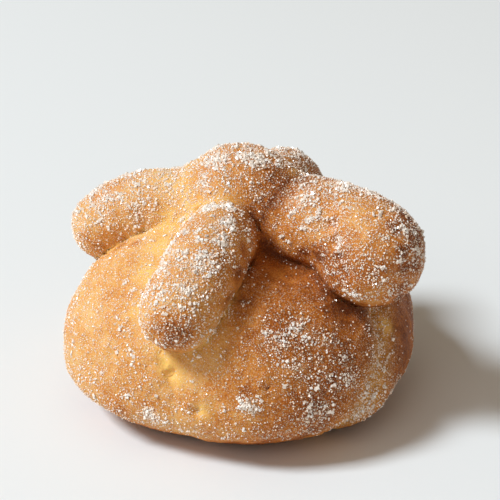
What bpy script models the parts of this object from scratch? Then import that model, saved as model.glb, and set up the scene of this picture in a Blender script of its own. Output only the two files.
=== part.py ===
"""Pan de muerto: a round sweet bun with four knuckled dough bones and a knob, baked together and sugared.

Metres, +Z up. The origin is on the table under the middle of the loaf. +X is to the right and -Y to the
front, with one bone that points towards the front.
"""

import math
import random

import bmesh
import bpy
from mathutils import Euler, Matrix, Vector
from mathutils.bvhtree import BVHTree
from mathutils.noise import noise

# Bun: half width, half depth, height of the dome without the strips, and the level where it is widest
BUN_HALF_WIDTH = 0.0527
BUN_HALF_DEPTH = 0.0514
BUN_HEIGHT = 0.0570
BUN_WIDEST_AT = 0.0160
# How far below the widest level the underside would close if the tray did not flatten it
BUN_UNDERSIDE_DROP = 0.0230
BUN_FOOT_ROUNDING = 0.0015
BUN_FOOT_INSET = 0.033
BUN_UNDERSIDE_RING = 0.55
DOME_POWER = 2.1
UNDERSIDE_POWER = 1.85
# The dough swells between the bones, most at half way round and less near the tray
PILLOW_SWELL = 0.0034
PILLOW_SWELL_AT_FOOT = 0.0004
PILLOW_ROUNDNESS = 1.1
HAND_UNEVENNESS = 0.0009

# The dough sags into a hollow between the front and the right bone, and bulges out at its foot below them:
# a place, its reach and how deep it sinks
SAGS = (
    ((0.0130, -0.0190, 0.0520), 0.0130, 0.0052),
    ((0.0400, -0.0330, 0.0100), 0.0180, -0.0026),
)

# Cracks where the dough stretched as it rose: headings and heights of the lower and upper end, depth and
# half width
CRACKS = {
    "under_right_bone": dict(headings=(-61, -27), heights=(0.000, 0.036), depth=0.0019, half_width=0.0052),
    "under_front_bone": dict(headings=(-114, -119), heights=(0.029, 0.036), depth=0.0012, half_width=0.0020),
}
CRACK_FADE = 0.007

# Bones: heading seen from above (degrees from +X), turn of the tip (degrees), where the strip starts and
# ends as a run over the dome from its top, and, at five even stations from start to tip, the ride of its
# centre above the dome and its half width
BONES = {
    "bone_left": dict(
        heading=167, turn=-1, start=0.006, end=0.0512, ride=(0.0040, 0.0054, 0.0066, 0.0062, 0.0046),
        half_widths=(0.0092, 0.0100, 0.0108, 0.0112, 0.0106),
    ),
    "bone_front": dict(
        heading=255, turn=-11.5, start=0.0105, end=0.0548, ride=(0.0012, 0.0044, 0.0056, 0.0060, 0.0060),
        half_widths=(0.0102, 0.0111, 0.0114, 0.0110, 0.0100),
    ),
    "bone_right": dict(
        heading=342, turn=-22, start=0.008, end=0.0536, ride=(0.0036, 0.0048, 0.0090, 0.0115, 0.0078),
        half_widths=(0.0100, 0.0132, 0.0141, 0.0164, 0.0146),
    ),
    "bone_back": dict(
        heading=63, turn=3, start=0.006, end=0.0460, ride=(0.0026, 0.0039, 0.0052, 0.0062, 0.0058),
        half_widths=(0.0100, 0.0108, 0.0115, 0.0117, 0.0106),
    ),
}
BONE_FLATNESS = 0.94

# Knob: a ball of dough pressed on where the bones meet
KNOB_HALF_SIZES = (0.0165, 0.0140, 0.0135)
KNOB_CENTRE = (0.0010, 0.0000, 0.0668)
KNOB_TURN = -8
KNOB_UNEVENNESS = 0.03

# Pieces that touch keep this gap
GAP = 0.0003

# Sugar: the largest grains, as blocks sunk in the crust, with their sides as shares of the longest
GRAIN_SIZE = (0.0012, 0.0019)
GRAIN_SIDES = (1.0, 0.85, 0.7)
GRAIN_SINK = 0.35
GRAINS = {
    "bun": 60, "bone_left": 14, "bone_front": 20, "bone_right": 24, "bone_back": 14, "knob": 16,
}
GRAIN_CLEARANCE = 0.0018
GRAIN_SPACING = 0.0042
GRAIN_LOWEST = 0.0040
GRAIN_MOST_OVERHANG = -0.15
GRAIN_SEED = 11

# Facets
BUN_SEGMENTS = 72
BUN_DOME_RINGS = 21
BUN_SIDE_RINGS = 5
BONE_RINGS = 20
BONE_SEGMENTS = 18
KNOB_RINGS = 12
KNOB_SEGMENTS = 22
PROFILE_STEPS = 400


def dough_material(name, colour, roughness):
    material = bpy.data.materials.new(name)
    material.use_nodes = True
    shader = material.node_tree.nodes["Principled BSDF"]
    shader.inputs["Base Color"].default_value = (*colour, 1.0)
    shader.inputs["Roughness"].default_value = roughness
    shader.inputs["Metallic"].default_value = 0.0
    return material


def ease(x):
    x = max(0.0, min(1.0, x))
    return x * x * (3.0 - 2.0 * x)


def mix(a, b, share):
    return a + (b - a) * share


def signed_degrees(angle):
    return (angle + 180.0) % 360.0 - 180.0


def turn_direction(heading):
    """Level unit vector at a heading in degrees."""
    a = math.radians(heading)
    return Vector((math.cos(a), math.sin(a), 0.0))


# Bun

def plan_radius(heading):
    """Half size of the plain bun at a heading: an ellipse seen from above."""
    way = turn_direction(heading)
    return 1.0 / math.hypot(way.x / BUN_HALF_WIDTH, way.y / BUN_HALF_DEPTH)


def profile_point(angle):
    """Share of the plan radius and the height, at an angle from 0 at the dome's top to pi straight under."""
    above = angle <= math.pi / 2.0
    power = DOME_POWER if above else UNDERSIDE_POWER
    across = math.sin(angle) ** (2.0 / power)
    along = abs(math.cos(angle)) ** (2.0 / power)
    if above:
        return across, BUN_WIDEST_AT + (BUN_HEIGHT - BUN_WIDEST_AT) * along
    return across, BUN_WIDEST_AT - BUN_UNDERSIDE_DROP * along


def foot_angle():
    """Angle of the profile where the underside meets the tray."""
    share = BUN_WIDEST_AT / BUN_UNDERSIDE_DROP
    return math.pi - math.acos(share ** (UNDERSIDE_POWER / 2.0))


def dome_point(heading, angle):
    share, height = profile_point(angle)
    return turn_direction(heading) * (plan_radius(heading) * share) + Vector((0.0, 0.0, height))


def dome_outward(heading, angle):
    step = 0.01
    before = dome_point(heading, max(angle - step, 0.0))
    after = dome_point(heading, angle + step)
    sideways = turn_direction(heading + 90.0)
    return (after - before).cross(sideways).normalized()


def pillow(heading):
    """0 along a bone and 1 half way to the next one."""
    headings = sorted((b["heading"] + b["turn"] / 2.0) % 360.0 for b in BONES.values())
    for start, end in zip(headings, headings[1:] + [headings[0] + 360.0]):
        for h in (heading % 360.0, heading % 360.0 + 360.0):
            if start <= h <= end:
                return math.sin(math.pi * (h - start) / (end - start)) ** PILLOW_ROUNDNESS
    return 0.0


def crack_depth(heading, height):
    """How deep the cracks are at a place on the side of the bun."""
    depth = 0.0
    for crack in CRACKS.values():
        low, high = crack["heights"]
        share = (height - low) / (high - low)
        centre = mix(*crack["headings"], share)
        away = math.radians(signed_degrees(heading - centre)) * BUN_HALF_WIDTH
        fade_up = ease((high + CRACK_FADE - height) / CRACK_FADE)
        fade_down = ease((height - low + CRACK_FADE) / CRACK_FADE)
        depth += crack["depth"] * fade_up * fade_down * math.exp(-((away / crack["half_width"]) ** 2))
    return depth


def sag_depth(point):
    depth = 0.0
    for place, reach, deepest in SAGS:
        away = (point - Vector(place)).length / reach
        depth += deepest * math.exp(-(away ** 2))
    return depth


def bun_point(heading, angle):
    """A place on the risen bun: the plain dome, swollen between the bones, sagged and a little uneven."""
    point = dome_point(heading, angle)
    outward = dome_outward(heading, angle)
    near_top = ease(angle / 0.55)
    near_foot = ease((angle - math.pi / 2.0) / (foot_angle() - math.pi / 2.0))
    swell = mix(PILLOW_SWELL, PILLOW_SWELL_AT_FOOT, near_foot) * near_top * pillow(heading)
    uneven = HAND_UNEVENNESS * noise(point * 38.0) * (1.0 - 0.7 * near_foot)
    sunk = crack_depth(heading, point.z) + sag_depth(point)
    moved = point + outward * (swell + uneven - sunk)
    moved.z = max(moved.z, 0.0)
    return moved


def bun_headings():
    """Headings of the bun's segments, closer together along the cracks."""
    steps = []
    for i in range(BUN_SEGMENTS):
        here = 360.0 * i / BUN_SEGMENTS
        crowding = 0.0
        for crack in CRACKS.values():
            low, high = crack["headings"]
            reach = 6.0 + abs(high - low) / 2.0
            crowding += math.exp(-((signed_degrees(here - (low + high) / 2.0) / reach) ** 2))
        steps.append(1.0 / (1.0 + 1.4 * crowding))
    total = sum(steps)
    headings = []
    here = 0.0
    for step in steps:
        headings.append(here)
        here += 360.0 * step / total
    return headings


def lathed(rings, bottom, top):
    """Closed mesh from rings of points that run upwards, with a middle point under and one on top."""
    mesh = bmesh.new()
    rows = [[mesh.verts.new(p) for p in ring] for ring in rings]
    low = mesh.verts.new(bottom)
    high = mesh.verts.new(top)
    count = len(rows[0])
    for below, above in zip(rows, rows[1:]):
        for i in range(count):
            j = (i + 1) % count
            mesh.faces.new((below[i], below[j], above[j], above[i]))
    for i in range(count):
        j = (i + 1) % count
        mesh.faces.new((rows[0][j], rows[0][i], low))
        mesh.faces.new((rows[-1][i], rows[-1][j], high))
    return mesh


def add_object(name, mesh, material):
    bmesh.ops.recalc_face_normals(mesh, faces=mesh.faces)
    data = bpy.data.meshes.new(name)
    mesh.to_mesh(data)
    mesh.free()
    data.shade_smooth()
    if material:
        data.materials.append(material)
    obj = bpy.data.objects.new(name, data)
    bpy.context.scene.collection.objects.link(obj)
    return obj


def make_bun(material):
    headings = bun_headings()
    last = foot_angle()
    side = [mix(math.pi / 2.0, last, i / BUN_SIDE_RINGS) for i in range(BUN_SIDE_RINGS + 1)]
    dome = [math.pi / 2.0 * (i + 0.7) / (BUN_DOME_RINGS + 0.7) for i in range(BUN_DOME_RINGS)]
    rings = [[bun_point(h, angle) for h in headings] for angle in reversed(dome + side)]
    foot = rings[0]
    for point in foot:
        point.z = BUN_FOOT_ROUNDING
    flat = [Vector((p.x, p.y, 0.0)) * (1.0 - BUN_FOOT_INSET) for p in foot]
    inner = [p * BUN_UNDERSIDE_RING for p in flat]
    mesh = lathed([inner, flat] + rings, Vector((0.0, 0.0, 0.0)), Vector((0.0, 0.0, BUN_HEIGHT)))
    return add_object("bun", mesh, material)


# Bones

def dome_runs():
    """Run over the middle section of the dome from its top, with the profile angle reached."""
    runs = [(0.0, 0.0)]
    before = profile_point(0.0)
    radius = (BUN_HALF_WIDTH + BUN_HALF_DEPTH) / 2.0
    for i in range(1, PROFILE_STEPS + 1):
        angle = math.pi * 0.62 * i / PROFILE_STEPS
        here = profile_point(angle)
        step = math.hypot((here[0] - before[0]) * radius, here[1] - before[1])
        runs.append((runs[-1][0] + step, angle))
        before = here
    return runs


DOME_RUNS = dome_runs()


def angle_at_run(run):
    for (r0, a0), (r1, a1) in zip(DOME_RUNS, DOME_RUNS[1:]):
        if r0 <= run <= r1:
            return mix(a0, a1, (run - r0) / (r1 - r0))
    return DOME_RUNS[-1][1]


def at_stations(values, share):
    """A value along a bone, on a smooth curve through its even stations."""
    place = min(share, 0.9999) * (len(values) - 1)
    i = int(place)
    part = place - i
    here = values[i]
    there = values[i + 1]
    rise_here = (there - values[max(i - 1, 0)]) / 2.0
    rise_there = (values[min(i + 2, len(values) - 1)] - here) / 2.0
    bend = 3.0 * (there - here) - 2.0 * rise_here - rise_there
    twist = rise_here + rise_there - 2.0 * (there - here)
    return here + part * (rise_here + part * (bend + part * twist))


def bone_centre(bone, share):
    run = mix(bone["start"], bone["end"], share)
    heading = bone["heading"] + bone["turn"] * share * share
    angle = angle_at_run(run)
    outward = dome_outward(heading, angle)
    return dome_point(heading, angle) + outward * at_stations(bone["ride"], share), outward


def bone_ring(bone, share, swell):
    """Points round a bone at one place, drawn in towards a round end."""
    length = bone["end"] - bone["start"]
    distance = share * length
    plain = at_stations(bone["half_widths"], share)
    end_gap = min(distance, length - distance)
    cap = 1.0
    if end_gap < plain:
        cap = math.sqrt(max(0.0, 1.0 - ((plain - end_gap) / plain) ** 2))
    centre, outward = bone_centre(bone, share)
    ahead = bone_centre(bone, min(share + 0.01, 1.0))[0] - bone_centre(bone, max(share - 0.01, 0.0))[0]
    side = outward.cross(ahead).normalized()
    up = ahead.cross(side).normalized()
    ring = []
    for k in range(BONE_SEGMENTS):
        a = 2.0 * math.pi * k / BONE_SEGMENTS
        spoke = side * math.cos(a) + up * (math.sin(a) * BONE_FLATNESS)
        at = centre + spoke * (plain * cap)
        bump = HAND_UNEVENNESS * 0.8 * noise(at * 60.0) * cap
        ring.append(at + spoke * (bump + swell))
    return ring


def make_bone(name, bone, material, swell=0.0):
    """A rolled strip of dough that follows the dome, as rings from one round end to the other."""
    shares = [0.5 - 0.5 * math.cos(math.pi * (i + 0.5) / BONE_RINGS) for i in range(BONE_RINGS)]
    rings = [bone_ring(bone, share, swell) for share in shares]
    start = bone_centre(bone, 0.0)[0]
    end = bone_centre(bone, 1.0)[0]
    back = (start - bone_centre(bone, 0.02)[0]).normalized()
    ahead = (end - bone_centre(bone, 0.98)[0]).normalized()
    return add_object(name, lathed(rings, start + back * swell, end + ahead * swell), material)


# Knob

def knob_point(lift, a, swell):
    half = [size + swell for size in KNOB_HALF_SIZES]
    x = half[0] * math.cos(lift) * math.cos(a)
    y = half[1] * math.cos(lift) * math.sin(a)
    place = Vector((x, y, half[2] * math.sin(lift)))
    bump = 1.0 + KNOB_UNEVENNESS * noise(place * 70.0)
    return Vector(KNOB_CENTRE) + Matrix.Rotation(math.radians(KNOB_TURN), 3, "Z") @ place * bump


def make_knob(name, material, swell=0.0):
    rings = []
    for i in range(1, KNOB_RINGS):
        lift = -math.pi / 2.0 + math.pi * i / KNOB_RINGS
        turns = [2.0 * math.pi * k / KNOB_SEGMENTS for k in range(KNOB_SEGMENTS)]
        rings.append([knob_point(lift, turn, swell) for turn in turns])
    bottom = knob_point(-math.pi / 2.0, 0.0, swell)
    top = knob_point(math.pi / 2.0, 0.0, swell)
    return add_object(name, lathed(rings, bottom, top), material)


# Joining and cutting

def apply_modifiers(obj):
    bpy.context.view_layer.update()
    seen = bpy.context.evaluated_depsgraph_get()
    made = bpy.data.meshes.new_from_object(obj.evaluated_get(seen))
    obj.modifiers.clear()
    obj.data = made


def cut(obj, cutters):
    """Takes the seats of its neighbours out of a piece."""
    for cutter in cutters:
        modifier = obj.modifiers.new("seat", "BOOLEAN")
        modifier.operation = "DIFFERENCE"
        modifier.solver = "EXACT"
        modifier.object = cutter
        apply_modifiers(obj)


def remove(objects):
    for obj in objects:
        bpy.data.objects.remove(obj)


# Sugar

def crust_places(obj, count, neighbours, draws):
    """Seeded places on the upper crust, with the way out, clear of the neighbours and of each other."""
    mesh = obj.data
    mesh.calc_loop_triangles()
    triangles = list(mesh.loop_triangles)
    areas = [t.area for t in triangles]
    trees = [BVHTree.FromPolygons([v.co for v in n.data.vertices], [p.vertices for p in n.data.polygons])
             for n in neighbours]
    places = []
    while len(places) < count:
        triangle = draws.choices(triangles, weights=areas)[0]
        a, b, c = (mesh.vertices[i].co for i in triangle.vertices)
        u, v = sorted((draws.random(), draws.random()))
        point = a * u + b * (v - u) + c * (1.0 - v)
        if triangle.normal.z < GRAIN_MOST_OVERHANG or point.z < GRAIN_LOWEST:
            continue
        if any(tree.find_nearest(point, GRAIN_CLEARANCE)[0] for tree in trees):
            continue
        if any((point - other).length < GRAIN_SPACING for other, _ in places):
            continue
        places.append((point, triangle.normal.copy()))
    return places


def add_grain(place, outward, draws):
    """One block of coarse sugar, turned at random and partly sunk in the crust."""
    longest = draws.uniform(*GRAIN_SIZE)
    turn = Euler([draws.uniform(0.0, math.tau) for _ in range(3)]).to_matrix().to_4x4()
    sides = Matrix.Diagonal([longest * side for side in GRAIN_SIDES] + [1.0])
    centre = place + outward * (longest * (0.5 - GRAIN_SINK))
    mesh = bmesh.new()
    bmesh.ops.create_cube(mesh, size=1.0, matrix=Matrix.Translation(centre) @ turn @ sides)
    return add_object("grain", mesh, None)


def sugar(obj, count, neighbours, draws):
    """Fuses the coarse sugar on a piece with it."""
    grains = bpy.data.collections.new("grains")
    bpy.context.scene.collection.children.link(grains)
    for place, outward in crust_places(obj, count, neighbours, draws):
        grain = add_grain(place, outward, draws)
        bpy.context.scene.collection.objects.unlink(grain)
        grains.objects.link(grain)
    modifier = obj.modifiers.new("sugar", "BOOLEAN")
    modifier.operation = "UNION"
    modifier.solver = "EXACT"
    modifier.operand_type = "COLLECTION"
    modifier.collection = grains
    apply_modifiers(obj)
    remove(list(grains.objects))
    bpy.data.collections.remove(grains)
    obj.data.set_sharp_from_angle(angle=math.radians(50.0))


def centre_all(objects):
    """Puts the origin under the middle of the whole loaf."""
    places = [v.co for obj in objects for v in obj.data.vertices]
    low = [min(p[i] for p in places) for i in range(3)]
    high = [max(p[i] for p in places) for i in range(3)]
    move = Vector((-(low[0] + high[0]) / 2.0, -(low[1] + high[1]) / 2.0, -low[2]))
    for obj in objects:
        obj.data.transform(Matrix.Translation(move))


def main():
    for obj in list(bpy.data.objects):
        bpy.data.objects.remove(obj)
    crust = dough_material("baked_crust", (0.66, 0.33, 0.12), 0.62)
    golden = dough_material("golden_strip_crust", (0.62, 0.29, 0.10), 0.6)

    bun = make_bun(crust)
    knob = make_knob("knob", golden)
    knob_seat = make_knob("knob_seat", None, GAP)
    bones = {name: make_bone(name, bone, golden) for name, bone in BONES.items()}
    seats = {name: make_bone(name + "_seat", bone, None, GAP) for name, bone in BONES.items()}
    names = list(BONES)
    for i, name in enumerate(names):
        cut(bones[name], [knob_seat] + [seats[other] for other in names[:i]])
    cut(bun, list(seats.values()) + [knob_seat])
    remove(list(seats.values()) + [knob_seat])

    pieces = {"bun": bun, "knob": knob, **bones}
    draws = random.Random(GRAIN_SEED)
    for name, piece in pieces.items():
        sugar(piece, GRAINS[name], [other for other in pieces.values() if other is not piece], draws)
    centre_all(list(pieces.values()))


main()
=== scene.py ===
"""Pan de muerto: the baked and sugared loaf, dressed over its solids.

Metres, +Z up. The loaf stands on the floor with its middle at the origin, one bone towards the front, -Y.
"""

import math

import bmesh
import bpy
import numpy as np
from mathutils import Euler, Matrix, Vector


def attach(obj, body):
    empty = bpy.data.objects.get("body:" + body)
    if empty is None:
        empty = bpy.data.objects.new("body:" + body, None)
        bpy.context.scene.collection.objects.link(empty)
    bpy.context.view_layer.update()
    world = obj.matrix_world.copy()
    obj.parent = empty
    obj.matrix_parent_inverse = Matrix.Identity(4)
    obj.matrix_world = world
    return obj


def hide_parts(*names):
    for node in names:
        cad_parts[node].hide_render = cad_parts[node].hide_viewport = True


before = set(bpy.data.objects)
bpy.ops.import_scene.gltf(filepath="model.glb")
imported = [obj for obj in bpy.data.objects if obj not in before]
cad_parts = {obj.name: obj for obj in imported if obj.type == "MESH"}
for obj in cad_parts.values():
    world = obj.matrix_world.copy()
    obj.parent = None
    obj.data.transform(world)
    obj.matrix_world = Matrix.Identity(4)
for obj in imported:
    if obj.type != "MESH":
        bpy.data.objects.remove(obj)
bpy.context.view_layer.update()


# Dough
# One round of yeast dough has a thick rolled strip along each of four headings and a ball pressed on where
# they meet. They rise and bake together, so their joints close up into soft creases, and the form is one
# smooth surface round all of them, found from the same sizes as the solids.

BUN_HALF_WIDTH = 0.0527
BUN_HALF_DEPTH = 0.0514
BUN_HEIGHT = 0.0570
BUN_WIDEST_AT = 0.0160
BUN_UNDERSIDE_DROP = 0.0230
DOME_POWER = 2.1
UNDERSIDE_POWER = 1.85
PILLOW_SWELL = 0.0034
PILLOW_SWELL_AT_FOOT = 0.0004
PILLOW_ROUNDNESS = 1.1
PILLOW_FULL_FROM = 0.028
FOOT_ROUNDING = 0.0030
BUN_AXIS = Vector((-0.00093, -0.00008, 0.0))

BONES = {
    "left": dict(
        heading=167, turn=-1, start=0.006, end=0.0512, ride=(0.0040, 0.0054, 0.0066, 0.0062, 0.0046),
        half_widths=(0.0092, 0.0100, 0.0108, 0.0112, 0.0106),
    ),
    "front": dict(
        heading=255, turn=-11.5, start=0.0105, end=0.0548, ride=(0.0012, 0.0044, 0.0056, 0.0060, 0.0060),
        half_widths=(0.0102, 0.0111, 0.0114, 0.0110, 0.0100),
    ),
    "right": dict(
        heading=342, turn=-22, start=0.008, end=0.0536, ride=(0.0036, 0.0048, 0.0090, 0.0115, 0.0078),
        half_widths=(0.0100, 0.0132, 0.0141, 0.0164, 0.0146),
    ),
    "back": dict(
        heading=63, turn=3, start=0.006, end=0.0460, ride=(0.0026, 0.0039, 0.0052, 0.0062, 0.0058),
        half_widths=(0.0100, 0.0108, 0.0115, 0.0117, 0.0106),
    ),
}
BONE_STEPS = 22
KNOB_HALF_SIZES = (0.0165, 0.0140, 0.0135)
KNOB_CENTRE = (0.0010, 0.0000, 0.0668)
KNOB_TURN = -8
# Dough pressed into the gaps under the knob
UNDER_KNOB_CENTRE = (-0.0040, 0.0000, 0.0530)
UNDER_KNOB_HALF_SIZES = (0.0225, 0.0190, 0.0120)
# How far a joint's fillet reaches: wide where the ends are pressed under the knob, tight along the strips
FILLET_AT_KNOB = 0.0075
FILLET_UNDER_KNOB = 0.0130
FILLET_ALONG_STRIP = 0.0012
FILLET_NEAR = 0.016
FILLET_FAR = 0.030
# The hollow between the front and the right strip, where the joint stays tight
HOLLOW_FROM = 0.012
HOLLOW_SOFTNESS = 0.010
VOXEL = 0.00072
SETTLE_STEPS = 5
SETTLE_MOST = 0.0012
SETTLE_PROBE = 0.0001
SETTLE_LEAST_SLOPE = 0.2
PROFILE_STEPS = 400
PROFILE_END = 0.62


def ease(x):
    x = np.clip(x, 0.0, 1.0)
    return x * x * (3.0 - 2.0 * x)


def mix(a, b, share):
    return a + (b - a) * share


def at_stations(values, share):
    """A value along a strip, on a smooth curve through its even stations."""
    place = min(share, 0.9999) * (len(values) - 1)
    i = int(place)
    part = place - i
    here = values[i]
    there = values[i + 1]
    rise_here = (there - values[max(i - 1, 0)]) / 2.0
    rise_there = (values[min(i + 2, len(values) - 1)] - here) / 2.0
    bend = 3.0 * (there - here) - 2.0 * rise_here - rise_there
    twist = rise_here + rise_there - 2.0 * (there - here)
    return here + part * (rise_here + part * (bend + part * twist))


def turn_direction(heading):
    a = math.radians(heading)
    return Vector((math.cos(a), math.sin(a), 0.0))


def profile_point(angle):
    """Share of the bun's half size and the height, at an angle from the top of the dome."""
    above = angle <= math.pi / 2.0
    power = DOME_POWER if above else UNDERSIDE_POWER
    across = math.sin(angle) ** (2.0 / power)
    along = abs(math.cos(angle)) ** (2.0 / power)
    if above:
        return across, BUN_WIDEST_AT + (BUN_HEIGHT - BUN_WIDEST_AT) * along
    return across, BUN_WIDEST_AT - BUN_UNDERSIDE_DROP * along


def dome_point(heading, angle):
    share, height = profile_point(angle)
    way = turn_direction(heading)
    radius = 1.0 / math.hypot(way.x / BUN_HALF_WIDTH, way.y / BUN_HALF_DEPTH)
    return way * (radius * share) + Vector((0.0, 0.0, height))


def dome_outward(heading, angle):
    step = 0.01
    before = dome_point(heading, max(angle - step, 0.0))
    after = dome_point(heading, angle + step)
    return (after - before).cross(turn_direction(heading + 90.0)).normalized()


def dome_runs():
    """Run over the dome from its top, with the profile angle reached."""
    runs = [0.0]
    angles = [0.0]
    before = profile_point(0.0)
    radius = (BUN_HALF_WIDTH + BUN_HALF_DEPTH) / 2.0
    for i in range(1, PROFILE_STEPS + 1):
        angle = math.pi * PROFILE_END * i / PROFILE_STEPS
        here = profile_point(angle)
        runs.append(runs[-1] + math.hypot((here[0] - before[0]) * radius, here[1] - before[1]))
        angles.append(angle)
        before = here
    return runs, angles


DOME_RUNS, DOME_ANGLES = dome_runs()


def bone_chain(bone):
    """Centres and half widths along a strip, between the middles of its two round ends."""
    widths = bone["half_widths"]
    first = widths[0]
    last = widths[-1]
    length = bone["end"] - bone["start"]
    centres = []
    radii = []
    for i in range(BONE_STEPS + 1):
        share = mix(first / length, 1.0 - last / length, i / BONE_STEPS)
        run = mix(bone["start"], bone["end"], share)
        heading = bone["heading"] + bone["turn"] * share * share
        angle = float(np.interp(run, DOME_RUNS, DOME_ANGLES))
        ride = at_stations(bone["ride"], share)
        centres.append(dome_point(heading, angle) + dome_outward(heading, angle) * ride)
        radii.append(at_stations(widths, share))
    return np.array(centres), np.array(radii)


CHAINS = {name: bone_chain(bone) for name, bone in BONES.items()}


def chain_distance(points, chain):
    """Distance to a strip: the nearest of its tapered stretches."""
    centres, radii = chain
    best = np.full(len(points), 1.0)
    for a, b, ra, rb in zip(centres, centres[1:], radii, radii[1:]):
        along = b - a
        share = np.clip((points - a) @ along / (along @ along), 0.0, 1.0)
        gap = points - a - share[:, None] * along
        best = np.minimum(best, np.sqrt((gap * gap).sum(1)) - mix(ra, rb, share))
    return best


def pillow_swell(points):
    """How far the dough swells between two strips, at each point's heading and height."""
    middles = sorted((b["heading"] + b["turn"] / 2.0) % 360.0 for b in BONES.values())
    heading = (np.degrees(np.arctan2(points[:, 1], points[:, 0])) - middles[0]) % 360.0
    marks = np.array([m - middles[0] for m in middles] + [360.0])
    slot = np.clip(np.searchsorted(marks, heading, side="right") - 1, 0, len(middles) - 1)
    share = (heading - marks[slot]) / (marks[slot + 1] - marks[slot])
    arch = np.sin(np.pi * np.clip(share, 0.0, 1.0)) ** PILLOW_ROUNDNESS
    near_foot = ease((BUN_WIDEST_AT - points[:, 2]) / BUN_WIDEST_AT)
    near_top = ease(np.hypot(points[:, 0], points[:, 1]) / PILLOW_FULL_FROM)
    return mix(PILLOW_SWELL, PILLOW_SWELL_AT_FOOT, near_foot) * near_top * arch


def bun_distance(points):
    level = points[:, 2] - BUN_WIDEST_AT
    tall = np.where(level > 0.0, BUN_HEIGHT - BUN_WIDEST_AT, BUN_UNDERSIDE_DROP)
    wide = np.hypot(points[:, 0] / BUN_HALF_WIDTH, points[:, 1] / BUN_HALF_DEPTH) + 1e-9
    high = np.abs(level) / tall + 1e-9
    power = np.where(level > 0.0, DOME_POWER, UNDERSIDE_POWER)
    size = (wide ** power + high ** power) ** (1.0 / power)
    radius = np.hypot(points[:, 0], points[:, 1]) / wide + 1e-9
    slope_out = (wide / size) ** (power - 1.0) / radius
    slope_up = (high / size) ** (power - 1.0) / tall
    return (size - 1.0) / np.hypot(slope_out, slope_up)


def knob_distance(points):
    turn = np.array(Matrix.Rotation(math.radians(-KNOB_TURN), 3, "Z"))
    local = (points - np.array(KNOB_CENTRE)) @ turn.T
    near = np.sqrt(((local / KNOB_HALF_SIZES) ** 2).sum(1)) + 1e-9
    steep = np.sqrt(((local / np.square(KNOB_HALF_SIZES)) ** 2).sum(1)) + 1e-9
    return near * (near - 1.0) / steep


def smooth_min(a, b, reach):
    near = np.maximum(reach - np.abs(a - b), 0.0) / reach
    return np.minimum(a, b) - near * near * reach * 0.25


# The dough sags into a hollow between the front and the right strip, and bulges out at its foot below them.
# Each is a place, its reach and how deep it sinks.
SAGS = (
    ((0.0130, -0.0190, 0.0520), 0.0130, 0.0052),
    ((0.0400, -0.0330, 0.0100), 0.0180, -0.0026),
)


def sag_depth(points):
    depth = np.zeros(len(points))
    for place, reach, deepest in SAGS:
        away = np.sqrt(((points - np.array(place)) ** 2).sum(1)) / reach
        depth += deepest * np.exp(-away * away)
    return depth


# Cracks where the crust gave way as it rose: a long split that runs down under the right strip's tip, and a
# short one under the front strip. Each follows a line of headings and heights on the bun's side.
CRACKS = {
    "long_split": dict(headings=(-61, -27), heights=(0.000, 0.036), depth=0.0019, half_width=0.0052),
    "short_crack": dict(headings=(-114, -119), heights=(0.029, 0.036), depth=0.0012, half_width=0.0014),
}
CRACK_FADE = 0.006


def crack_closeness(points, crack, half_width):
    """1 along the middle of a crack and 0 away from it."""
    low, high = crack["heights"]
    height = points[:, 2]
    centre = mix(*crack["headings"], (height - low) / (high - low))
    heading = np.degrees(np.arctan2(points[:, 1], points[:, 0]))
    away = np.radians((heading - centre + 180.0) % 360.0 - 180.0) * BUN_HALF_WIDTH
    fade = ease((high + CRACK_FADE - height) / CRACK_FADE) * ease((height - low + CRACK_FADE) / CRACK_FADE)
    return fade * np.exp(-np.square(away / half_width))


def dough_fields(points):
    """Distance to each piece of dough, with the bun swollen and cracked."""
    bun = bun_distance(points) - pillow_swell(points) + sag_depth(points)
    for crack in CRACKS.values():
        bun += crack["depth"] * crack_closeness(points, crack, crack["half_width"])
    fields = [bun]
    fields += [chain_distance(points, chain) for chain in CHAINS.values()]
    fields.append(knob_distance(points))
    return fields


def loaf_distance(points):
    bun, *strips, knob = dough_fields(points)
    from_knob = np.sqrt(((points - np.array(KNOB_CENTRE)) ** 2).sum(1))
    far = ease((from_knob - FILLET_NEAR) / (FILLET_FAR - FILLET_NEAR))
    in_hollow = ease((points[:, 0] - points[:, 1] - HOLLOW_FROM) / HOLLOW_SOFTNESS)
    reach = mix(FILLET_AT_KNOB, FILLET_ALONG_STRIP, far)
    reach_below = mix(mix(FILLET_UNDER_KNOB, FILLET_AT_KNOB, in_hollow), FILLET_ALONG_STRIP, far)
    whole = strips[0]
    for strip in strips[1:]:
        whole = smooth_min(whole, strip, reach)
    whole = smooth_min(whole, knob, reach)
    whole = smooth_min(whole, bun, reach_below)
    return -smooth_min(-whole, points[:, 2], FOOT_ROUNDING)


def settle(points):
    """Moves rough points onto the loaf's surface."""
    for _ in range(SETTLE_STEPS):
        here = loaf_distance(points)
        probes = [loaf_distance(points + SETTLE_PROBE * axis) - here for axis in np.eye(3)]
        slope = np.stack([probe / SETTLE_PROBE for probe in probes], 1)
        steep = np.maximum((slope * slope).sum(1), SETTLE_LEAST_SLOPE)
        move = np.clip(here / steep, -SETTLE_MOST, SETTLE_MOST)
        points = points - move[:, None] * slope
    return points


def add_ball(mesh, centre, half_sizes, fineness):
    place = Matrix.Translation(centre) @ Matrix.Diagonal((*half_sizes, 1.0))
    return bmesh.ops.create_icosphere(mesh, subdivisions=fineness, radius=1.0, matrix=place)["verts"]


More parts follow.
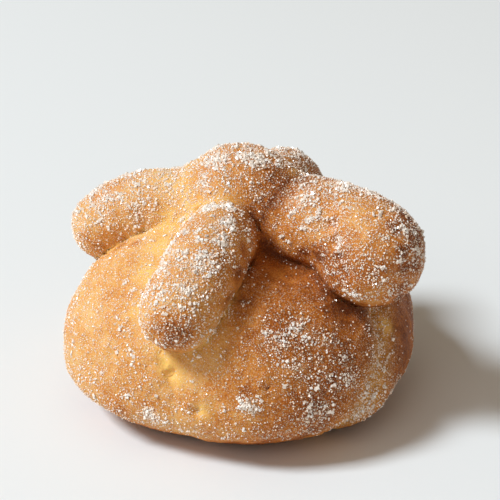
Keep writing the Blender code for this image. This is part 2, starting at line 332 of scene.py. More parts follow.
def rough_loaf():
    """Overlapping balls of about the right size, as one mesh to be joined by its voxels."""
    mesh = bmesh.new()
    dome_tall = BUN_HEIGHT - BUN_WIDEST_AT
    bun = add_ball(mesh, (0.0, 0.0, BUN_WIDEST_AT), (BUN_HALF_WIDTH, BUN_HALF_DEPTH, dome_tall), fineness=5)
    sags = sag_depth(np.array([vertex.co for vertex in bun]))
    for vertex, sag in zip(bun, sags):
        vertex.co -= vertex.co.normalized() * float(sag)
        vertex.co.z = max(vertex.co.z, 0.0)
    add_ball(mesh, KNOB_CENTRE, KNOB_HALF_SIZES, fineness=4)
    add_ball(mesh, UNDER_KNOB_CENTRE, UNDER_KNOB_HALF_SIZES, fineness=4)
    for centres, radii in CHAINS.values():
        for centre, radius in zip(centres[::2], radii[::2]):
            add_ball(mesh, centre, (radius, radius, radius), fineness=3)
    data = bpy.data.meshes.new("rough_loaf")
    mesh.to_mesh(data)
    mesh.free()
    return data


def add_object(name, data):
    obj = bpy.data.objects.new(name, data)
    bpy.context.scene.collection.objects.link(obj)
    return obj


def bake_modifiers(obj):
    """Turns what the modifiers show into a plain mesh and takes them off."""
    bpy.context.view_layer.update()
    seen = bpy.context.evaluated_depsgraph_get()
    made = bpy.data.meshes.new_from_object(obj.evaluated_get(seen))
    obj.modifiers.clear()
    obj.data = made


def get_points(data):
    flat = np.empty(len(data.vertices) * 3)
    data.vertices.foreach_get("co", flat)
    return flat.reshape(-1, 3)


def set_points(data, points):
    data.vertices.foreach_set("co", points.ravel())
    data.update()


crust = add_object("crust", rough_loaf())
voxels = crust.modifiers.new("voxels", "REMESH")
voxels.mode = "VOXEL"
voxels.voxel_size = VOXEL
bake_modifiers(crust)
settled = settle(get_points(crust.data))
set_points(crust.data, settled)
crust.data.shade_smooth()


# Baking and sugaring of the crust
# The oven browned the top and the tips, the dough stretched and stayed pale beside the strips, tore and
# sank in places, and the sugar stuck unevenly. The brown also holds painted shade: darker on the right,
# away from the window, in the front and right creases, on the shaded sides and at the foot, with less sugar
# on the shaded sides. Each is a number on the mesh, which the relief, the colours and the grains read.

MILLIMETRE = 0.001


def store(data, name, values):
    attribute = data.attributes.new(name, "FLOAT", "POINT")
    attribute.data.foreach_set("value", np.clip(values, 0.0, 1.0).astype(np.float32))


def step_up(values, start, reach):
    """0 up to the start and 1 past its reach, with an eased step between."""
    return ease((values - start) / reach)


def spots_cover(points, spots):
    """The strongest cover of some round soft spots: x, y, z and radius in millimetres, and a strength."""
    cover = np.zeros(len(points))
    for x, y, z, radius, strength in spots:
        centre = np.array((x, y, z)) * MILLIMETRE
        away = np.sqrt(((points - centre) ** 2).sum(1)) / (radius * MILLIMETRE)
        cover = np.maximum(cover, strength * np.exp(-away * away))
    return cover


CREASE_REACH = 0.0030
# Darker spots: deeper bake at the strips' tips, the swollen front and the pinholes, and painted shade on
# the right one's rim, the front one's shaded side, the valley between them and the crease under the left
# one
BROWN_AND_SHADE_SPOTS = (
    (-18, -51, 46, 9, 0.85),
    (45, -15, 70, 5, 0.85), (48, -21, 67, 6, 1.0), (51, -27, 62, 7.5, 1.0), (52, -32, 56, 7, 1.0),
    (47, -36, 49, 7, 1.0), (53, -20, 58, 9, 0.95), (43, -37, 46, 6, 1.0), (45, -5, 62, 9, 0.8),
    (27, -24, 67, 3, 0.85), (29, -31, 60, 3, 0.6),
    (8, -16, 54, 8, 0.95), (15, -24, 50, 7, 0.9), (24, -30, 46, 7, 0.85), (34, -34, 42, 5, 0.65),
    (26, -39, 39, 13, 0.74), (44, -25, 24, 11, 0.8), (3, -52, 27, 5, 0.85), (30, -44, 30, 9, 0.75),
    (50, -16, 23, 13, 0.9), (-36, -40, 14, 9, 0.55), (-25, -47, 18, 8, 0.6), (-7, -51, 30, 8, 0.55),
    (1, -38, 48, 9, 0.85), (24, -26, 57, 6, 1.0), (19, -22, 55, 5, 0.9), (-3, -36, 55, 5, 0.7),
    (-43, -1, 47, 5, 0.75), (-36, -4, 49.5, 4.5, 0.85), (-31, -9, 53, 3.5, 0.75), (-2, -50, 33, 9, 0.56),
    (11, -10, 73, 8, 0.8), (-39, -2, 50, 9, 0.6), (-47, 0, 50, 6, 0.6),
    (44, -29, 66.5, 4.5, 0.95), (46.2, -32.7, 61.2, 5, 1.0), (47.4, -33.7, 56.7, 5, 1.0),
    (47.5, -33.4, 50.1, 5, 1.0), (46.7, -31.7, 45.6, 4.5, 1.0), (1.5, -30.5, 60.8, 4, 0.85),
    (-0.7, -36, 55.6, 5, 0.88), (-3.5, -40.3, 49.9, 5, 0.85),
    (15.7, -42.5, 43.5, 1.0, 0.9), (8.5, -52, 28, 0.7, 0.9), (-19, -45.5, 29, 0.9, 1.0),
)
# Stretched dough: the left junction, along the front strip, under its tip, two tears, the split's top
PALE_SPOTS = (
    (-20, 0, 66, 7, 0.38), (-21, -7, 58, 5, 0.65), (-23, -16, 55, 4, 0.75), (-26, -24, 50, 4, 0.7),
    (-28, -33, 42, 4, 0.5), (-20, -45.5, 33, 3.8, 0.8), (-18, -47.5, 29, 3.2, 0.85),
    (-10, -51.3, 20, 2.6, 0.65), (44, -24, 35, 2.8, 0.95), (44.2, -21.6, 31.1, 3.0, 0.85),
)
# Thin-skinned faces that stayed golden: the right strip's two lobes and the bulge below them
GOLDEN_SPOTS = ((36, -24, 66, 8, 0.7), (22, -20, 66, 8, 0.4), (18, -22, 58, 4, 0.2), (35, -35, 38, 7, 0.2))
# The groove across the right strip, the tears, the pinholes and two dents
SUNK_SPOTS = (
    (25.6, -21, 68.4, 3, 0.4), (25.8, -24, 65.8, 3, 0.8), (26.7, -28, 61.5, 3, 1.0),
    (28, -31, 58.4, 3, 1.0), (29.6, -33, 55.5, 3, 0.6), (-19, -45.5, 29, 1.2, 0.6),
    (-12, -51, 19.5, 1.6, 0.4), (15.7, -42.5, 43.5, 0.7, 0.3), (8.5, -52, 28, 0.5, 0.3),
    (-43, -2, 57, 2.2, 0.3), (23, -27, 53, 4, 0.4),
)
# The knob, under it, each strip's shoulder and tip, the swollen front, the foot
SUGAR_SPOTS = (
    (-6, -3, 78, 7, 0.75), (5, -5, 79, 8, 0.75), (12, -3, 76, 5, 0.6), (-10, -8, 73, 6, 0.7),
    (-8, -18.5, 69.5, 4, 1.0), (-3, -18.5, 69, 4, 1.0), (1, -17.5, 68, 3, 0.9),
    (-4, -27, 66.5, 5, 0.85), (-5, -33, 65, 5, 0.85), (-10, -40, 61, 5.5, 0.9), (-14, -46, 57, 6, 0.75),
    (-20, -40, 59, 4, 0.75), (-20, -47, 54, 4, 0.7),
    (18, -14, 70.5, 9, 0.70), (30, -12, 72.5, 9, 0.70), (22, -22, 65, 7, 0.60), (28, -29, 62, 4, 0.75),
    (38, -36, 57, 5, 0.5), (46, -20, 70, 7, 0.28), (46, -35, 46, 4, 0.35),
    (25, -28, 53, 4, 0.6), (32, -34.5, 48, 4, 0.85),
    (17, -42, 41, 7, 0.50), (11, -45, 38, 8, 0.46), (24, -41, 37, 7, 0.44), (16, -48, 33, 6, 0.50),
    (30, -44, 27, 9, 0.46), (3, -53.5, 23, 4, 0.75), (22, -50, 18, 8, 0.5),
    (4, -27, 53, 3, 0.6), (1, -33, 50, 3, 0.6), (-3, -39, 46, 3, 0.6), (-7, -43, 42, 3, 0.5),
    (20, -45, 33, 22, 0.34),
    (-47, 3, 56, 6, 0.52), (-42, 3, 61, 6, 0.56), (-30, 4, 68.5, 7, 0.52), (-25, -46, 14, 6, 0.7),
    (-30, 14, 68, 7, 0.7), (12, 24, 74, 8, 0.8), (18, 36, 66, 9, 0.8),
)
# Less sugar on the sides turned away from the window, the valley and the hollows: little stuck there, and
# it is thinned further there as painted shade
BARE_AND_SHADED_SPOTS = (
    (2, -31, 60, 4, 0.8), (0, -37, 55, 5, 0.8), (-3, -42, 50, 5, 0.7),
    (51, -14, 24, 11, 0.8), (5, -16, 56, 8, 0.8), (12, -24, 50, 8, 0.8), (0, -34, 52, 6, 0.7),
    (30, -33, 43, 7, 0.6), (-20, -45.5, 31, 5, 0.8), (14, -8, 68, 6, 0.5),
    (-38, -2, 48, 6, 0.5), (22, -25, 56, 5, 0.6), (37, -25, 66, 6, 0.5),
)

BROWN_EVERYWHERE = 0.30
# Painted shade: the crust darkens towards the right, the side away from the window, less on the strips
SHADE_TO_THE_RIGHT = 0.50
SHADE_SPARED_ON_STRIPS = 0.35
BROWN_ON_STRIP_TOPS = 0.08
# Painted shade in the creases on the front and the right, away from the window
SHADE_IN_CREASES = 0.35
BROWN_UNDERNEATH = 0.8
# The foot by the floor darkened: partly the bake on the tray, partly painted shade near the floor
BROWN_AT_FOOT = 0.95
BROWN_LOST_WHERE_PALE = 0.8
PALE_CREASE_BEHIND = 0.6
PALE_IN_CREASES = 0.6
PALE_IN_SPLIT = 0.30
PALE_IN_SHORT_CRACK = 0.8
PALE_SPLIT_HALF_WIDTH = 0.0078
PALE_SHORT_HALF_WIDTH = 0.0022
SUGAR_EVERYWHERE = 0.20
SUGAR_ON_STRIPS = 0.10
SUGAR_ON_STRIP_TOPS = 0.12
SUGAR_AT_FOOT = 0.22
SUGAR_IN_SPLIT = 0.22
SUGAR_ON_THE_LEFT = 0.07
SUGAR_LOST_IN_CREASES = 0.6

shape = crust.data
places = get_points(shape)
x, y, z = places.T
ways_out = np.empty(len(places) * 3)
shape.vertex_normals.foreach_get("vector", ways_out)
up = ways_out.reshape(-1, 3)[:, 2]
pieces = dough_fields(places)
nearest = np.sort(np.stack(pieces), 0)
crease = np.exp(-np.maximum(nearest[1] - np.maximum(nearest[0], 0.0), 0.0) / CREASE_REACH)
on_strip = step_up(pieces[0], 0.0, 0.003)
above_underside = step_up(z, 0.0, 0.0035)
split = crack_closeness(places, CRACKS["long_split"], PALE_SPLIT_HALF_WIDTH) * above_underside
short = crack_closeness(places, CRACKS["short_crack"], PALE_SHORT_HALF_WIDTH)
rising = step_up(up, -0.3, 1.2)
lying = step_up(-up, 0.4, 0.5)
far_left = step_up(-x, 0.006, 0.020)
foot = step_up(-z, -0.018, 0.012)
# Darker foot near the floor: partly the tray's bake, partly painted shade
foot_bake_and_shade = BROWN_AT_FOOT * step_up(-z, -0.0045, 0.0030)
in_front = step_up(-y, 0.0, 0.010)
on_left = step_up(-x, -0.004, 0.012)
# Painted shade: the creases in front, away from the lit left side, are darkened and lose some sugar
shaded_crease = crease * in_front * (1.0 - on_left)
stretched_in_front = on_left * step_up(x, -0.034, 0.012)
stretched_crease = crease * mix(PALE_CREASE_BEHIND, stretched_in_front, in_front)

# Painted shade: the crust grows darker towards the right, away from the window, less so on the strips
shade_to_the_right = SHADE_TO_THE_RIGHT * step_up(x, -0.026, 0.055) * (1.0 - SHADE_SPARED_ON_STRIPS * on_strip)
brown = BROWN_EVERYWHERE + shade_to_the_right + BROWN_ON_STRIP_TOPS * rising * on_strip
brown = (brown + SHADE_IN_CREASES * shaded_crease) * (1.0 - spots_cover(places, GOLDEN_SPOTS))
brown = np.maximum.reduce([
    brown,
    spots_cover(places, BROWN_AND_SHADE_SPOTS),
    BROWN_UNDERNEATH * lying,
    foot_bake_and_shade,
])
pale = np.maximum.reduce([
    PALE_IN_CREASES * stretched_crease,
    PALE_IN_SPLIT * split,
    PALE_IN_SHORT_CRACK * short,
    spots_cover(places, PALE_SPOTS),
])
sugar_cover = SUGAR_EVERYWHERE + SUGAR_ON_STRIPS * on_strip + SUGAR_ON_STRIP_TOPS * on_strip * rising
sugar_cover = sugar_cover + SUGAR_AT_FOOT * foot + SUGAR_IN_SPLIT * split + SUGAR_ON_THE_LEFT * far_left
sugar_cover = np.maximum(sugar_cover, spots_cover(places, SUGAR_SPOTS))
sugar_cover *= 1.0 - SUGAR_LOST_IN_CREASES * shaded_crease
sugar_cover *= 1.0 - spots_cover(places, BARE_AND_SHADED_SPOTS)
sugar_cover *= step_up(z, 0.0028, 0.003) * step_up(up, -0.85, 0.45)
store(shape, "brown", brown * (1.0 - BROWN_LOST_WHERE_PALE * pale))
store(shape, "pale", pale)
store(shape, "torn", split + short)
store(shape, "sunk", spots_cover(places, SUNK_SPOTS))
store(shape, "sugar", sugar_cover)


# Crust finish
# Enriched dough bakes to a thin soft skin, slightly glossy with butter: golden where it stretched or was
# shaded from the heat, deep orange-brown where the heat reached it, mottled at every size, and dusted with
# sugar too fine to see as grains. The brown it reads also holds painted shade, darker away from the window.

def add_node(tree, kind, where, **settings):
    node = tree.nodes.new(kind)
    node.location = where
    for name, value in settings.items():
        setattr(node, name, value)
    return node


def set_inputs(node, **values):
    for name, value in values.items():
        node.inputs[name.replace("_", " ")].default_value = value


def math_node(tree, operation, a, b, where, clamp=False):
    node = add_node(tree, "ShaderNodeMath", where, operation=operation, use_clamp=clamp)
    for socket, value in zip(node.inputs, (a, b)):
        if isinstance(value, (int, float)):
            socket.default_value = value
        else:
            tree.links.new(value, socket)
    return node.outputs[0]


def colour_ramp(tree, value, stops, where):
    node = add_node(tree, "ShaderNodeValToRGB", where)
    ramp = node.color_ramp
    while len(ramp.elements) < len(stops):
        ramp.elements.new(0.5)
    for element, (position, colour) in zip(ramp.elements, stops):
        element.position = position
        element.color = (*colour, 1.0)
    tree.links.new(value, node.inputs["Fac"])
    return node.outputs["Color"]


def noise_node(tree, places_from, size, detail, roughness, where):
    node = add_node(tree, "ShaderNodeTexNoise", where)
    set_inputs(node, Scale=1.0 / size, Detail=detail, Roughness=roughness)
    tree.links.new(places_from, node.inputs["Vector"])
    return node.outputs["Fac"]


def map_node(tree, value, low, high, where):
    """0 at low and 1 at high, with a soft start and end."""
    node = add_node(tree, "ShaderNodeMapRange", where, interpolation_type="SMOOTHSTEP")
    set_inputs(node, From_Min=low, From_Max=high)
    tree.links.new(value, node.inputs["Value"])
    return node.outputs["Result"]


def mix_colours(tree, share, a, b, where):
    node = add_node(tree, "ShaderNodeMix", where, data_type="RGBA")
    tree.links.new(share, node.inputs["Factor"])
    tree.links.new(a, node.inputs["A"])
    node.inputs["B"].default_value = (*b, 1.0)
    return node.outputs["Result"]


def attribute_node(tree, name, where):
    return add_node(tree, "ShaderNodeAttribute", where, attribute_name=name).outputs["Fac"]


CRUST_COLOURS = (
    (0.00, (0.79, 0.46, 0.17)),
    (0.25, (0.74, 0.36, 0.105)),
    (0.50, (0.62, 0.225, 0.040)),
    (0.75, (0.41, 0.113, 0.014)),
    (1.00, (0.17, 0.040, 0.008)),
)
# Each layer of blotches in the browning: its size, detail, strength and level in the node view
BLOTCHES = (
    (0.013, 4.0, 0.85, 300),
    (0.0026, 3.0, 0.55, 100),
    (0.00055, 2.0, 0.75, -100),
)
STRETCHED_DOUGH = (0.91, 0.56, 0.14)
STRAND_SIZE = 0.0016
SUGAR_FROST = (0.86, 0.53, 0.31)
SUGAR_DUST = (0.95, 0.80, 0.65)
MOST_FROSTED = 0.42
MOST_DUSTED = 0.75
SPECK_SIZE = 0.00052
DRIFT_SIZE = 0.0034
PORE_SIZE = 0.0007

crust_finish = bpy.data.materials.new("baked_crust")
crust_finish.use_nodes = True
tree = crust_finish.node_tree
shader = tree.nodes["Principled BSDF"]
where_from = add_node(tree, "ShaderNodeTexCoord", (-1900, 0)).outputs["Object"]
# The brown number holds both the real bake and the painted shade
browning_with_shade = attribute_node(tree, "brown", (-1600, 500))
for size, detail, strength, level in BLOTCHES:
    blotches = noise_node(tree, where_from, size, detail, 0.55, (-1600, level))
    apart = math_node(tree, "SUBTRACT", blotches, 0.5, (-1400, level))
    part_of = math_node(tree, "MULTIPLY", apart, strength, (-1250, level))
    browning_with_shade = math_node(tree, "ADD", browning_with_shade, part_of, (-1100, level), clamp=(level < 0))
skin = colour_ramp(tree, browning_with_shade, CRUST_COLOURS, (-900, 300))
stretched = attribute_node(tree, "pale", (-1100, -250))
strands = noise_node(tree, where_from, STRAND_SIZE, 2.0, 0.5, (-1300, -300))
strands = map_node(tree, strands, 0.1, 0.52, (-1100, -350))
pale_share = math_node(tree, "MULTIPLY", stretched, strands, (-850, -250))
skin = mix_colours(tree, pale_share, skin, STRETCHED_DOUGH, (-600, 200))
specks = add_node(tree, "ShaderNodeTexVoronoi", (-1600, -600))
specks.inputs["Scale"].default_value = 1.0 / SPECK_SIZE
tree.links.new(where_from, specks.inputs["Vector"])
speck = map_node(tree, specks.outputs["Distance"], 0.46, 0.22, (-1300, -600))
drifts = noise_node(tree, where_from, DRIFT_SIZE, 3.0, 0.6, (-1600, -850))
cover = attribute_node(tree, "sugar", (-1600, -1050))
stuck = math_node(tree, "ADD", cover, drifts, (-1300, -850))
clumped = map_node(tree, stuck, 0.25, 1.00, (-1100, -850))
sugared = map_node(tree, cover, 0.0, 0.22, (-1100, -1050))
dusted = math_node(tree, "MULTIPLY", clumped, sugared, (-850, -850))
dusted = math_node(tree, "MULTIPLY", dusted, MOST_DUSTED, (-750, -600))
dust_share = math_node(tree, "MULTIPLY", speck, dusted, (-650, -700))
frosted = map_node(tree, stuck, 0.80, 1.40, (-1100, -1250))
frost_share = math_node(tree, "MULTIPLY", frosted, MOST_FROSTED, (-650, -850))
skin = mix_colours(tree, frost_share, skin, SUGAR_FROST, (-500, 150))
skin = mix_colours(tree, dust_share, skin, SUGAR_DUST, (-400, 100))
tree.links.new(skin, shader.inputs["Base Color"])
pores = noise_node(tree, where_from, PORE_SIZE, 3.0, 0.6, (-650, -400))
height = math_node(tree, "ADD", pores, dust_share, (-400, -400))
bump = add_node(tree, "ShaderNodeBump", (-200, -400))
set_inputs(bump, Strength=0.7, Distance=0.00035)
tree.links.new(height, bump.inputs["Height"])
tree.links.new(bump.outputs["Normal"], shader.inputs["Normal"])
set_inputs(shader, Roughness=0.58, IOR=1.45, Specular_IOR_Level=0.20)
set_inputs(shader, Subsurface_Weight=0.25, Subsurface_Radius=(1.0, 0.45, 0.18), Subsurface_Scale=0.0020)


# Crust relief
# The skin has real bumps: slow lumps left by the hands, wrinkles and small pits from the rising bubbles,
# rough strands where it tore, and the places that sank. The flat underside stays flat.

def new_tree(name, inputs):
    """A geometry tree with a geometry input, named inputs and one geometry output."""
    made = bpy.data.node_groups.new(name, "GeometryNodeTree")
    face = made.interface
    face.new_socket("Geometry", in_out="INPUT", socket_type="NodeSocketGeometry")
    for label, kind, value in inputs:
        socket = face.new_socket(label, in_out="INPUT", socket_type=kind)
        if value is not None:
            socket.default_value = value
    face.new_socket("Geometry", in_out="OUTPUT", socket_type="NodeSocketGeometry")
    return made


def use_tree(obj, made, values):
    """Puts a tree on an object, with its inputs set by their identifiers."""
    modifier = obj.modifiers.new(made.name, "NODES")
    modifier.node_group = made
    for item in made.interface.items_tree:
        if item.item_type == "SOCKET" and item.in_out == "INPUT" and item.name in values:
            modifier[item.identifier] = values[item.name]


NOISE_MIDDLE = 0.5


def wave(made, place, size, detail, where):
    """A noise of that size in metres, about zero."""
    node = add_node(made, "ShaderNodeTexNoise", where)
    inverse = math_node(made, "DIVIDE", 1.0, size, (where[0] - 200, where[1] - 60))
    made.links.new(inverse, node.inputs["Scale"])
    made.links.new(place, node.inputs["Vector"])
    node.inputs["Detail"].default_value = detail
    return math_node(made, "SUBTRACT", node.outputs["Fac"], NOISE_MIDDLE, (where[0] + 200, where[1]))


def named_field(made, name, where):
    node = add_node(made, "GeometryNodeInputNamedAttribute", where, data_type="FLOAT")
    node.inputs["Name"].default_value = name
    return node.outputs["Attribute"]


RELIEF = {
    "Lump Size": 0.011, "Lump Height": 0.0021,
    "Wrinkle Size": 0.0040, "Wrinkle Height": 0.0007,
    "Pit Size": 0.0017, "Pit Height": 0.0004,
    "Torn Height": 0.0016, "Sunk Depth": 0.0038, "Flat Below": 0.0030,
}
relief_inputs = [(name, "NodeSocketFloat", value) for name, value in RELIEF.items()]
relief = new_tree("crust relief", relief_inputs + [("Finish", "NodeSocketMaterial", None)])
into = add_node(relief, "NodeGroupInput", (-1200, 0))
here = add_node(relief, "GeometryNodeInputPosition", (-1200, -300)).outputs[0]
outward = add_node(relief, "GeometryNodeInputNormal", (-200, -400)).outputs[0]
lumps = wave(relief, here, into.outputs["Lump Size"], 2.0, (-800, 0))
wrinkles = wave(relief, here, into.outputs["Wrinkle Size"], 2.0, (-800, -300))
pits = wave(relief, here, into.outputs["Pit Size"], 1.0, (-800, -600))
torn = math_node(relief, "MULTIPLY", pits, named_field(relief, "torn", (-800, -900)), (-600, -900))
sunk = math_node(relief, "MULTIPLY", named_field(relief, "sunk", (-800, -1200)), -1.0, (-600, -1200))
lift = math_node(relief, "MULTIPLY", lumps, into.outputs["Lump Height"], (-400, 0))
for field, height, level in (
    (wrinkles, "Wrinkle Height", -300), (pits, "Pit Height", -600), (torn, "Torn Height", -900),
    (sunk, "Sunk Depth", -1200),
):
    piece = math_node(relief, "MULTIPLY", field, into.outputs[height], (-400, level))
    lift = math_node(relief, "ADD", lift, piece, (-200, level))
level = add_node(relief, "ShaderNodeSeparateXYZ", (-400, 300))
relief.links.new(here, level.inputs[0])
free = math_node(relief, "DIVIDE", level.outputs["Z"], into.outputs["Flat Below"], (-200, 300), clamp=True)
lift = math_node(relief, "MULTIPLY", lift, free, (0, 0))
push = add_node(relief, "ShaderNodeVectorMath", (200, -300), operation="SCALE")
relief.links.new(outward, push.inputs[0])
relief.links.new(lift, push.inputs["Scale"])
moved = add_node(relief, "GeometryNodeSetPosition", (400, 0))
relief.links.new(into.outputs["Geometry"], moved.inputs["Geometry"])
relief.links.new(push.outputs[0], moved.inputs["Offset"])
real = add_node(relief, "GeometryNodeRealizeInstances", (600, 0))
relief.links.new(moved.outputs[0], real.inputs[0])
finish = add_node(relief, "GeometryNodeSetMaterial", (800, 0))
relief.links.new(real.outputs[0], finish.inputs["Geometry"])
relief.links.new(into.outputs["Finish"], finish.inputs["Material"])
out = add_node(relief, "NodeGroupOutput", (1000, 0))
relief.links.new(finish.outputs[0], out.inputs[0])

use_tree(crust, relief, {**RELIEF, "Finish": crust_finish})
bake_modifiers(crust)


# Sugar
# The hot loaf is brushed with butter and rolled in granulated sugar: clear blocks that look white, in
# patches and clumps on top, with finer grains everywhere. Each kind is one mesh of real grains, partly sunk
# in the skin.

GRAIN_COLOURS = (
    (0.0, (1.0, 0.97, 0.94)),
    (1.0, (0.94, 0.70, 0.50)),
)


def sugar_tint():
    """A node group: the colour of one grain, from clear white to stained by the butter and the crust."""
    group = bpy.data.node_groups.new("sugar tint", "ShaderNodeTree")
    group.interface.new_socket("Most Stained", in_out="INPUT", socket_type="NodeSocketFloat")
    group.interface.new_socket("Colour", in_out="OUTPUT", socket_type="NodeSocketColor")
    most = add_node(group, "NodeGroupInput", (0, -200)).outputs["Most Stained"]
    stain = math_node(group, "MULTIPLY", attribute_node(group, "stain", (0, 0)), most, (200, 0))
    colour = colour_ramp(group, stain, GRAIN_COLOURS, (400, 0))
    group.links.new(colour, add_node(group, "NodeGroupOutput", (700, 0)).inputs["Colour"])
    return group


def sugar_material(name, tint, stained, clear, roughness):
    made = bpy.data.materials.new(name)
    made.use_nodes = True
    node = made.node_tree.nodes["Principled BSDF"]
    colour = add_node(made.node_tree, "ShaderNodeGroup", (-300, 200), node_tree=tint)
    colour.inputs["Most Stained"].default_value = stained
    made.node_tree.links.new(colour.outputs["Colour"], node.inputs["Base Color"])
    set_inputs(node, Roughness=roughness, IOR=1.5, Transmission_Weight=clear, Specular_IOR_Level=0.9)
    return made


GRAIN_TILT = 0.8
THINNEST_SIDES = (0.80, 0.65, 0.55)
THICKEST_SIDES = (1.0, 0.95, 0.85)


def grain_density(made, into):
    """Grains per area: a patchy share of the places where sugar stuck."""
    here = add_node(made, "GeometryNodeInputPosition", (-1600, -400)).outputs[0]
    stuck = named_field(made, "sugar", (-1200, 300))
    patches = wave(made, here, into.outputs["Patch Size"], 3.0, (-1400, -300))
    patches = math_node(made, "MULTIPLY", patches, into.outputs["Patchiness"], (-1050, -300))
    raised = math_node(made, "ADD", patches, stuck, (-900, 0))
    spread = add_node(made, "ShaderNodeMapRange", (-700, 0))
    made.links.new(raised, spread.inputs["Value"])
    made.links.new(into.outputs["Patch Start"], spread.inputs["From Min"])
    made.links.new(into.outputs["Patch Full"], spread.inputs["From Max"])
    most = into.outputs["Most Per Area"]
    density = math_node(made, "MULTIPLY", spread.outputs["Result"], most, (-500, 0))
    return math_node(made, "MULTIPLY", density, stuck, (-350, 0))


def lifted_points(made, into, scatter):
    """The scattered points, each pushed out of the skin by a random part of the lift."""
    height = add_node(made, "FunctionNodeRandomValue", (-200, -300), data_type="FLOAT")
    made.links.new(into.outputs["Lift"], height.inputs["Max"])
    made.links.new(into.outputs["Seed"], height.inputs["Seed"])
    push = add_node(made, "ShaderNodeVectorMath", (0, -200), operation="SCALE")
    made.links.new(scatter.outputs["Normal"], push.inputs[0])
    made.links.new(height.outputs["Value"], push.inputs["Scale"])
    lifted = add_node(made, "GeometryNodeSetPosition", (150, 200))
    made.links.new(scatter.outputs["Points"], lifted.inputs["Geometry"])
    made.links.new(push.outputs[0], lifted.inputs["Offset"])
    return lifted.outputs[0]


def grain_turn(made, into, scatter):
    """Grains lie along the skin, tilted a little and turned any way."""
    tilt = add_node(made, "FunctionNodeRandomValue", (150, -300), data_type="FLOAT_VECTOR")
    tilt.inputs["Min"].default_value = (-GRAIN_TILT, -GRAIN_TILT, 0.0)
    tilt.inputs["Max"].default_value = (GRAIN_TILT, GRAIN_TILT, math.tau)
    made.links.new(into.outputs["Seed"], tilt.inputs["Seed"])
    turn = add_node(made, "FunctionNodeRotateRotation", (350, -200), rotation_space="LOCAL")
    made.links.new(scatter.outputs["Rotation"], turn.inputs["Rotation"])
    made.links.new(tilt.outputs["Value"], turn.inputs["Rotate By"])
    return turn.outputs["Rotation"]


def grain_size(made, into):
    """A random length, and random sides as shares of it."""
    length = add_node(made, "FunctionNodeRandomValue", (150, -500), data_type="FLOAT")
    made.links.new(into.outputs["Smallest"], length.inputs["Min"])
    made.links.new(into.outputs["Largest"], length.inputs["Max"])
    sides = add_node(made, "FunctionNodeRandomValue", (150, -700), data_type="FLOAT_VECTOR")
    sides.inputs["Min"].default_value = THINNEST_SIDES
    sides.inputs["Max"].default_value = THICKEST_SIDES
    size = add_node(made, "ShaderNodeVectorMath", (350, -500), operation="SCALE")
    made.links.new(sides.outputs["Value"], size.inputs[0])
    made.links.new(length.outputs[1], size.inputs["Scale"])
    return size.outputs[0]


def stained_grains(made, grains):
    """Gives each grain a random number from 0 to 1, which its colour reads."""
    stain = add_node(made, "FunctionNodeRandomValue", (550, -200), data_type="FLOAT")
    kept = add_node(
        made, "GeometryNodeStoreNamedAttribute", (720, 200), data_type="FLOAT", domain="INSTANCE",
    )
    kept.inputs["Name"].default_value = "stain"
    made.links.new(grains, kept.inputs["Geometry"])
    made.links.new(stain.outputs[1], kept.inputs["Value"])
    return kept.outputs[0]


def sugar_tree():
    """Scatters grains over a crust, turned and sized at random, as one mesh with its finish."""
    made = new_tree("sugar grains", [
        ("Most Per Area", "NodeSocketFloat", 1.0e6),
        ("Patch Size", "NodeSocketFloat", 0.006),
        ("Patchiness", "NodeSocketFloat", 2.4),
        ("Patch Start", "NodeSocketFloat", 0.5),
        ("Patch Full", "NodeSocketFloat", 0.6),
        ("Smallest", "NodeSocketFloat", 0.0004),
        ("Largest", "NodeSocketFloat", 0.0009),
        ("Lift", "NodeSocketFloat", 0.0001),
        ("Seed", "NodeSocketInt", 1),
        ("Finish", "NodeSocketMaterial", None),
    ])
    into = add_node(made, "NodeGroupInput", (-1600, 0))
    scatter = add_node(made, "GeometryNodeDistributePointsOnFaces", (-200, 200))
    made.links.new(into.outputs["Geometry"], scatter.inputs["Mesh"])
    made.links.new(grain_density(made, into), scatter.inputs["Density"])
    made.links.new(into.outputs["Seed"], scatter.inputs["Seed"])
    block = add_node(made, "GeometryNodeMeshCube", (350, 0))
    block.inputs["Size"].default_value = (1.0, 1.0, 1.0)
    place = add_node(made, "GeometryNodeInstanceOnPoints", (550, 200))
    made.links.new(lifted_points(made, into, scatter), place.inputs["Points"])
    made.links.new(block.outputs["Mesh"], place.inputs["Instance"])
    made.links.new(grain_turn(made, into, scatter), place.inputs["Rotation"])
    made.links.new(grain_size(made, into), place.inputs["Scale"])
    real = add_node(made, "GeometryNodeRealizeInstances", (900, 200))
    made.links.new(stained_grains(made, place.outputs[0]), real.inputs[0])
    finish = add_node(made, "GeometryNodeSetMaterial", (1050, 200))
    made.links.new(real.outputs[0], finish.inputs["Geometry"])
    made.links.new(into.outputs["Finish"], finish.inputs["Material"])
    out = add_node(made, "NodeGroupOutput", (1250, 200))
    made.links.new(finish.outputs[0], out.inputs[0])
    return made


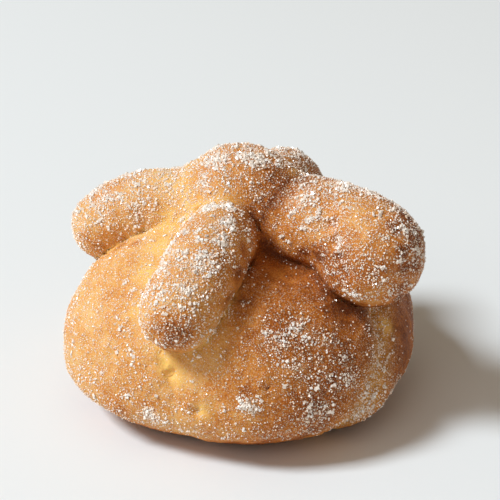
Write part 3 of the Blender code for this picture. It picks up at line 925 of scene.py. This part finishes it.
GRAIN_KINDS = {
    "sugar_coarse": dict(
        most=1.6e6, patch=0.0036, start=0.47, full=1.00, sizes=(0.00064, 0.00112), lift=0.00026, seed=3,
        stained=0.55, clear=0.07, roughness=0.14,
    ),
    "sugar_medium": dict(
        most=2.4e6, patch=0.0036, start=0.30, full=0.90, sizes=(0.00042, 0.00072), lift=0.00020, seed=7,
        stained=0.7, clear=0.03, roughness=0.16,
    ),
    "sugar_fine": dict(
        most=4.2e6, patch=0.0026, start=0.00, full=0.70, sizes=(0.00026, 0.00048), lift=0.00010, seed=11,
        stained=1.0, clear=0.0, roughness=0.20,
    ),
}
sugar = sugar_tree()
tint = sugar_tint()
for name, kind in GRAIN_KINDS.items():
    grains = add_object(name, crust.data.copy())
    use_tree(grains, sugar, {
        "Most Per Area": kind["most"],
        "Patch Size": kind["patch"],
        "Patch Start": kind["start"],
        "Patch Full": kind["full"],
        "Smallest": kind["sizes"][0],
        "Largest": kind["sizes"][1],
        "Lift": kind["lift"],
        "Seed": kind["seed"],
        "Finish": sugar_material(name, tint, kind["stained"], kind["clear"], kind["roughness"]),
    })
    bake_modifiers(grains)
    grains.data.transform(Matrix.Translation(BUN_AXIS))
    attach(grains, "root")

crust.data.transform(Matrix.Translation(BUN_AXIS))
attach(crust, "root")
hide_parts("bun", "bone_left", "bone_front", "bone_right", "bone_back", "knob")


# Floor, light and camera
# The loaf stands on a pale matt table, in the light of a large soft window high at the left and a little to
# the front. A bright wall nearer to the front and the warm light of the room fill the shade.

FLOOR_HALF = 2.0
FLOOR_COLOUR = (0.82, 0.82, 0.82, 1.0)
FLOOR_ROUGHNESS = 0.7
floor_mesh = bmesh.new()
bmesh.ops.create_grid(floor_mesh, x_segments=1, y_segments=1, size=FLOOR_HALF)
floor_data = bpy.data.meshes.new("floor")
floor_mesh.to_mesh(floor_data)
floor_mesh.free()
floor = add_object("floor", floor_data)
floor_paint = bpy.data.materials.new("floor_paint")
floor_paint.use_nodes = True
floor_shader = floor_paint.node_tree.nodes["Principled BSDF"]
set_inputs(floor_shader, Base_Color=FLOOR_COLOUR, Roughness=FLOOR_ROUGHNESS)
floor.data.materials.append(floor_paint)

LOAF_MIDDLE = Vector((0.0, 0.0, 0.030))


def add_window(name, place, size, power, colour):
    light = bpy.data.lights.new(name, "AREA")
    light.shape = "RECTANGLE"
    light.size, light.size_y = size
    light.energy = power
    light.color = colour
    obj = add_object(name, light)
    obj.location = place
    obj.rotation_mode = "QUATERNION"
    obj.rotation_quaternion = (LOAF_MIDDLE - Vector(place)).to_track_quat("-Z", "Y")


add_window(
    "window", place=(-2.85, -0.65, 3.35), size=(1.10, 1.10), power=216.0, colour=(0.84, 0.935, 1.0),
)
add_window(
    "bright_wall", place=(-1.10, -1.50, 1.50), size=(1.50, 1.00), power=6.0, colour=(1.0, 0.99, 0.975),
)

ROOM_COLOUR = (1.0, 0.85, 0.66, 1.0)
ROOM_STRENGTH = 0.27
world = bpy.data.worlds.new("room")
bpy.context.scene.world = world
world.use_nodes = True
set_inputs(world.node_tree.nodes["Background"], Color=ROOM_COLOUR, Strength=ROOM_STRENGTH)

CAMERA_PLACE = (0.00257, -0.38836, 0.23528)
CAMERA_DOWN = 26.0
CAMERA_LENS = 100.8
camera = add_object("camera", bpy.data.cameras.new("camera"))
camera.location = CAMERA_PLACE
camera.rotation_euler = Euler((math.radians(90.0 - CAMERA_DOWN), 0.0, 0.0))
camera.data.sensor_width = 36.0
camera.data.lens = CAMERA_LENS
camera.data.clip_start = 0.01
bpy.context.scene.camera = camera
bpy.context.scene.view_settings.view_transform = "Standard"
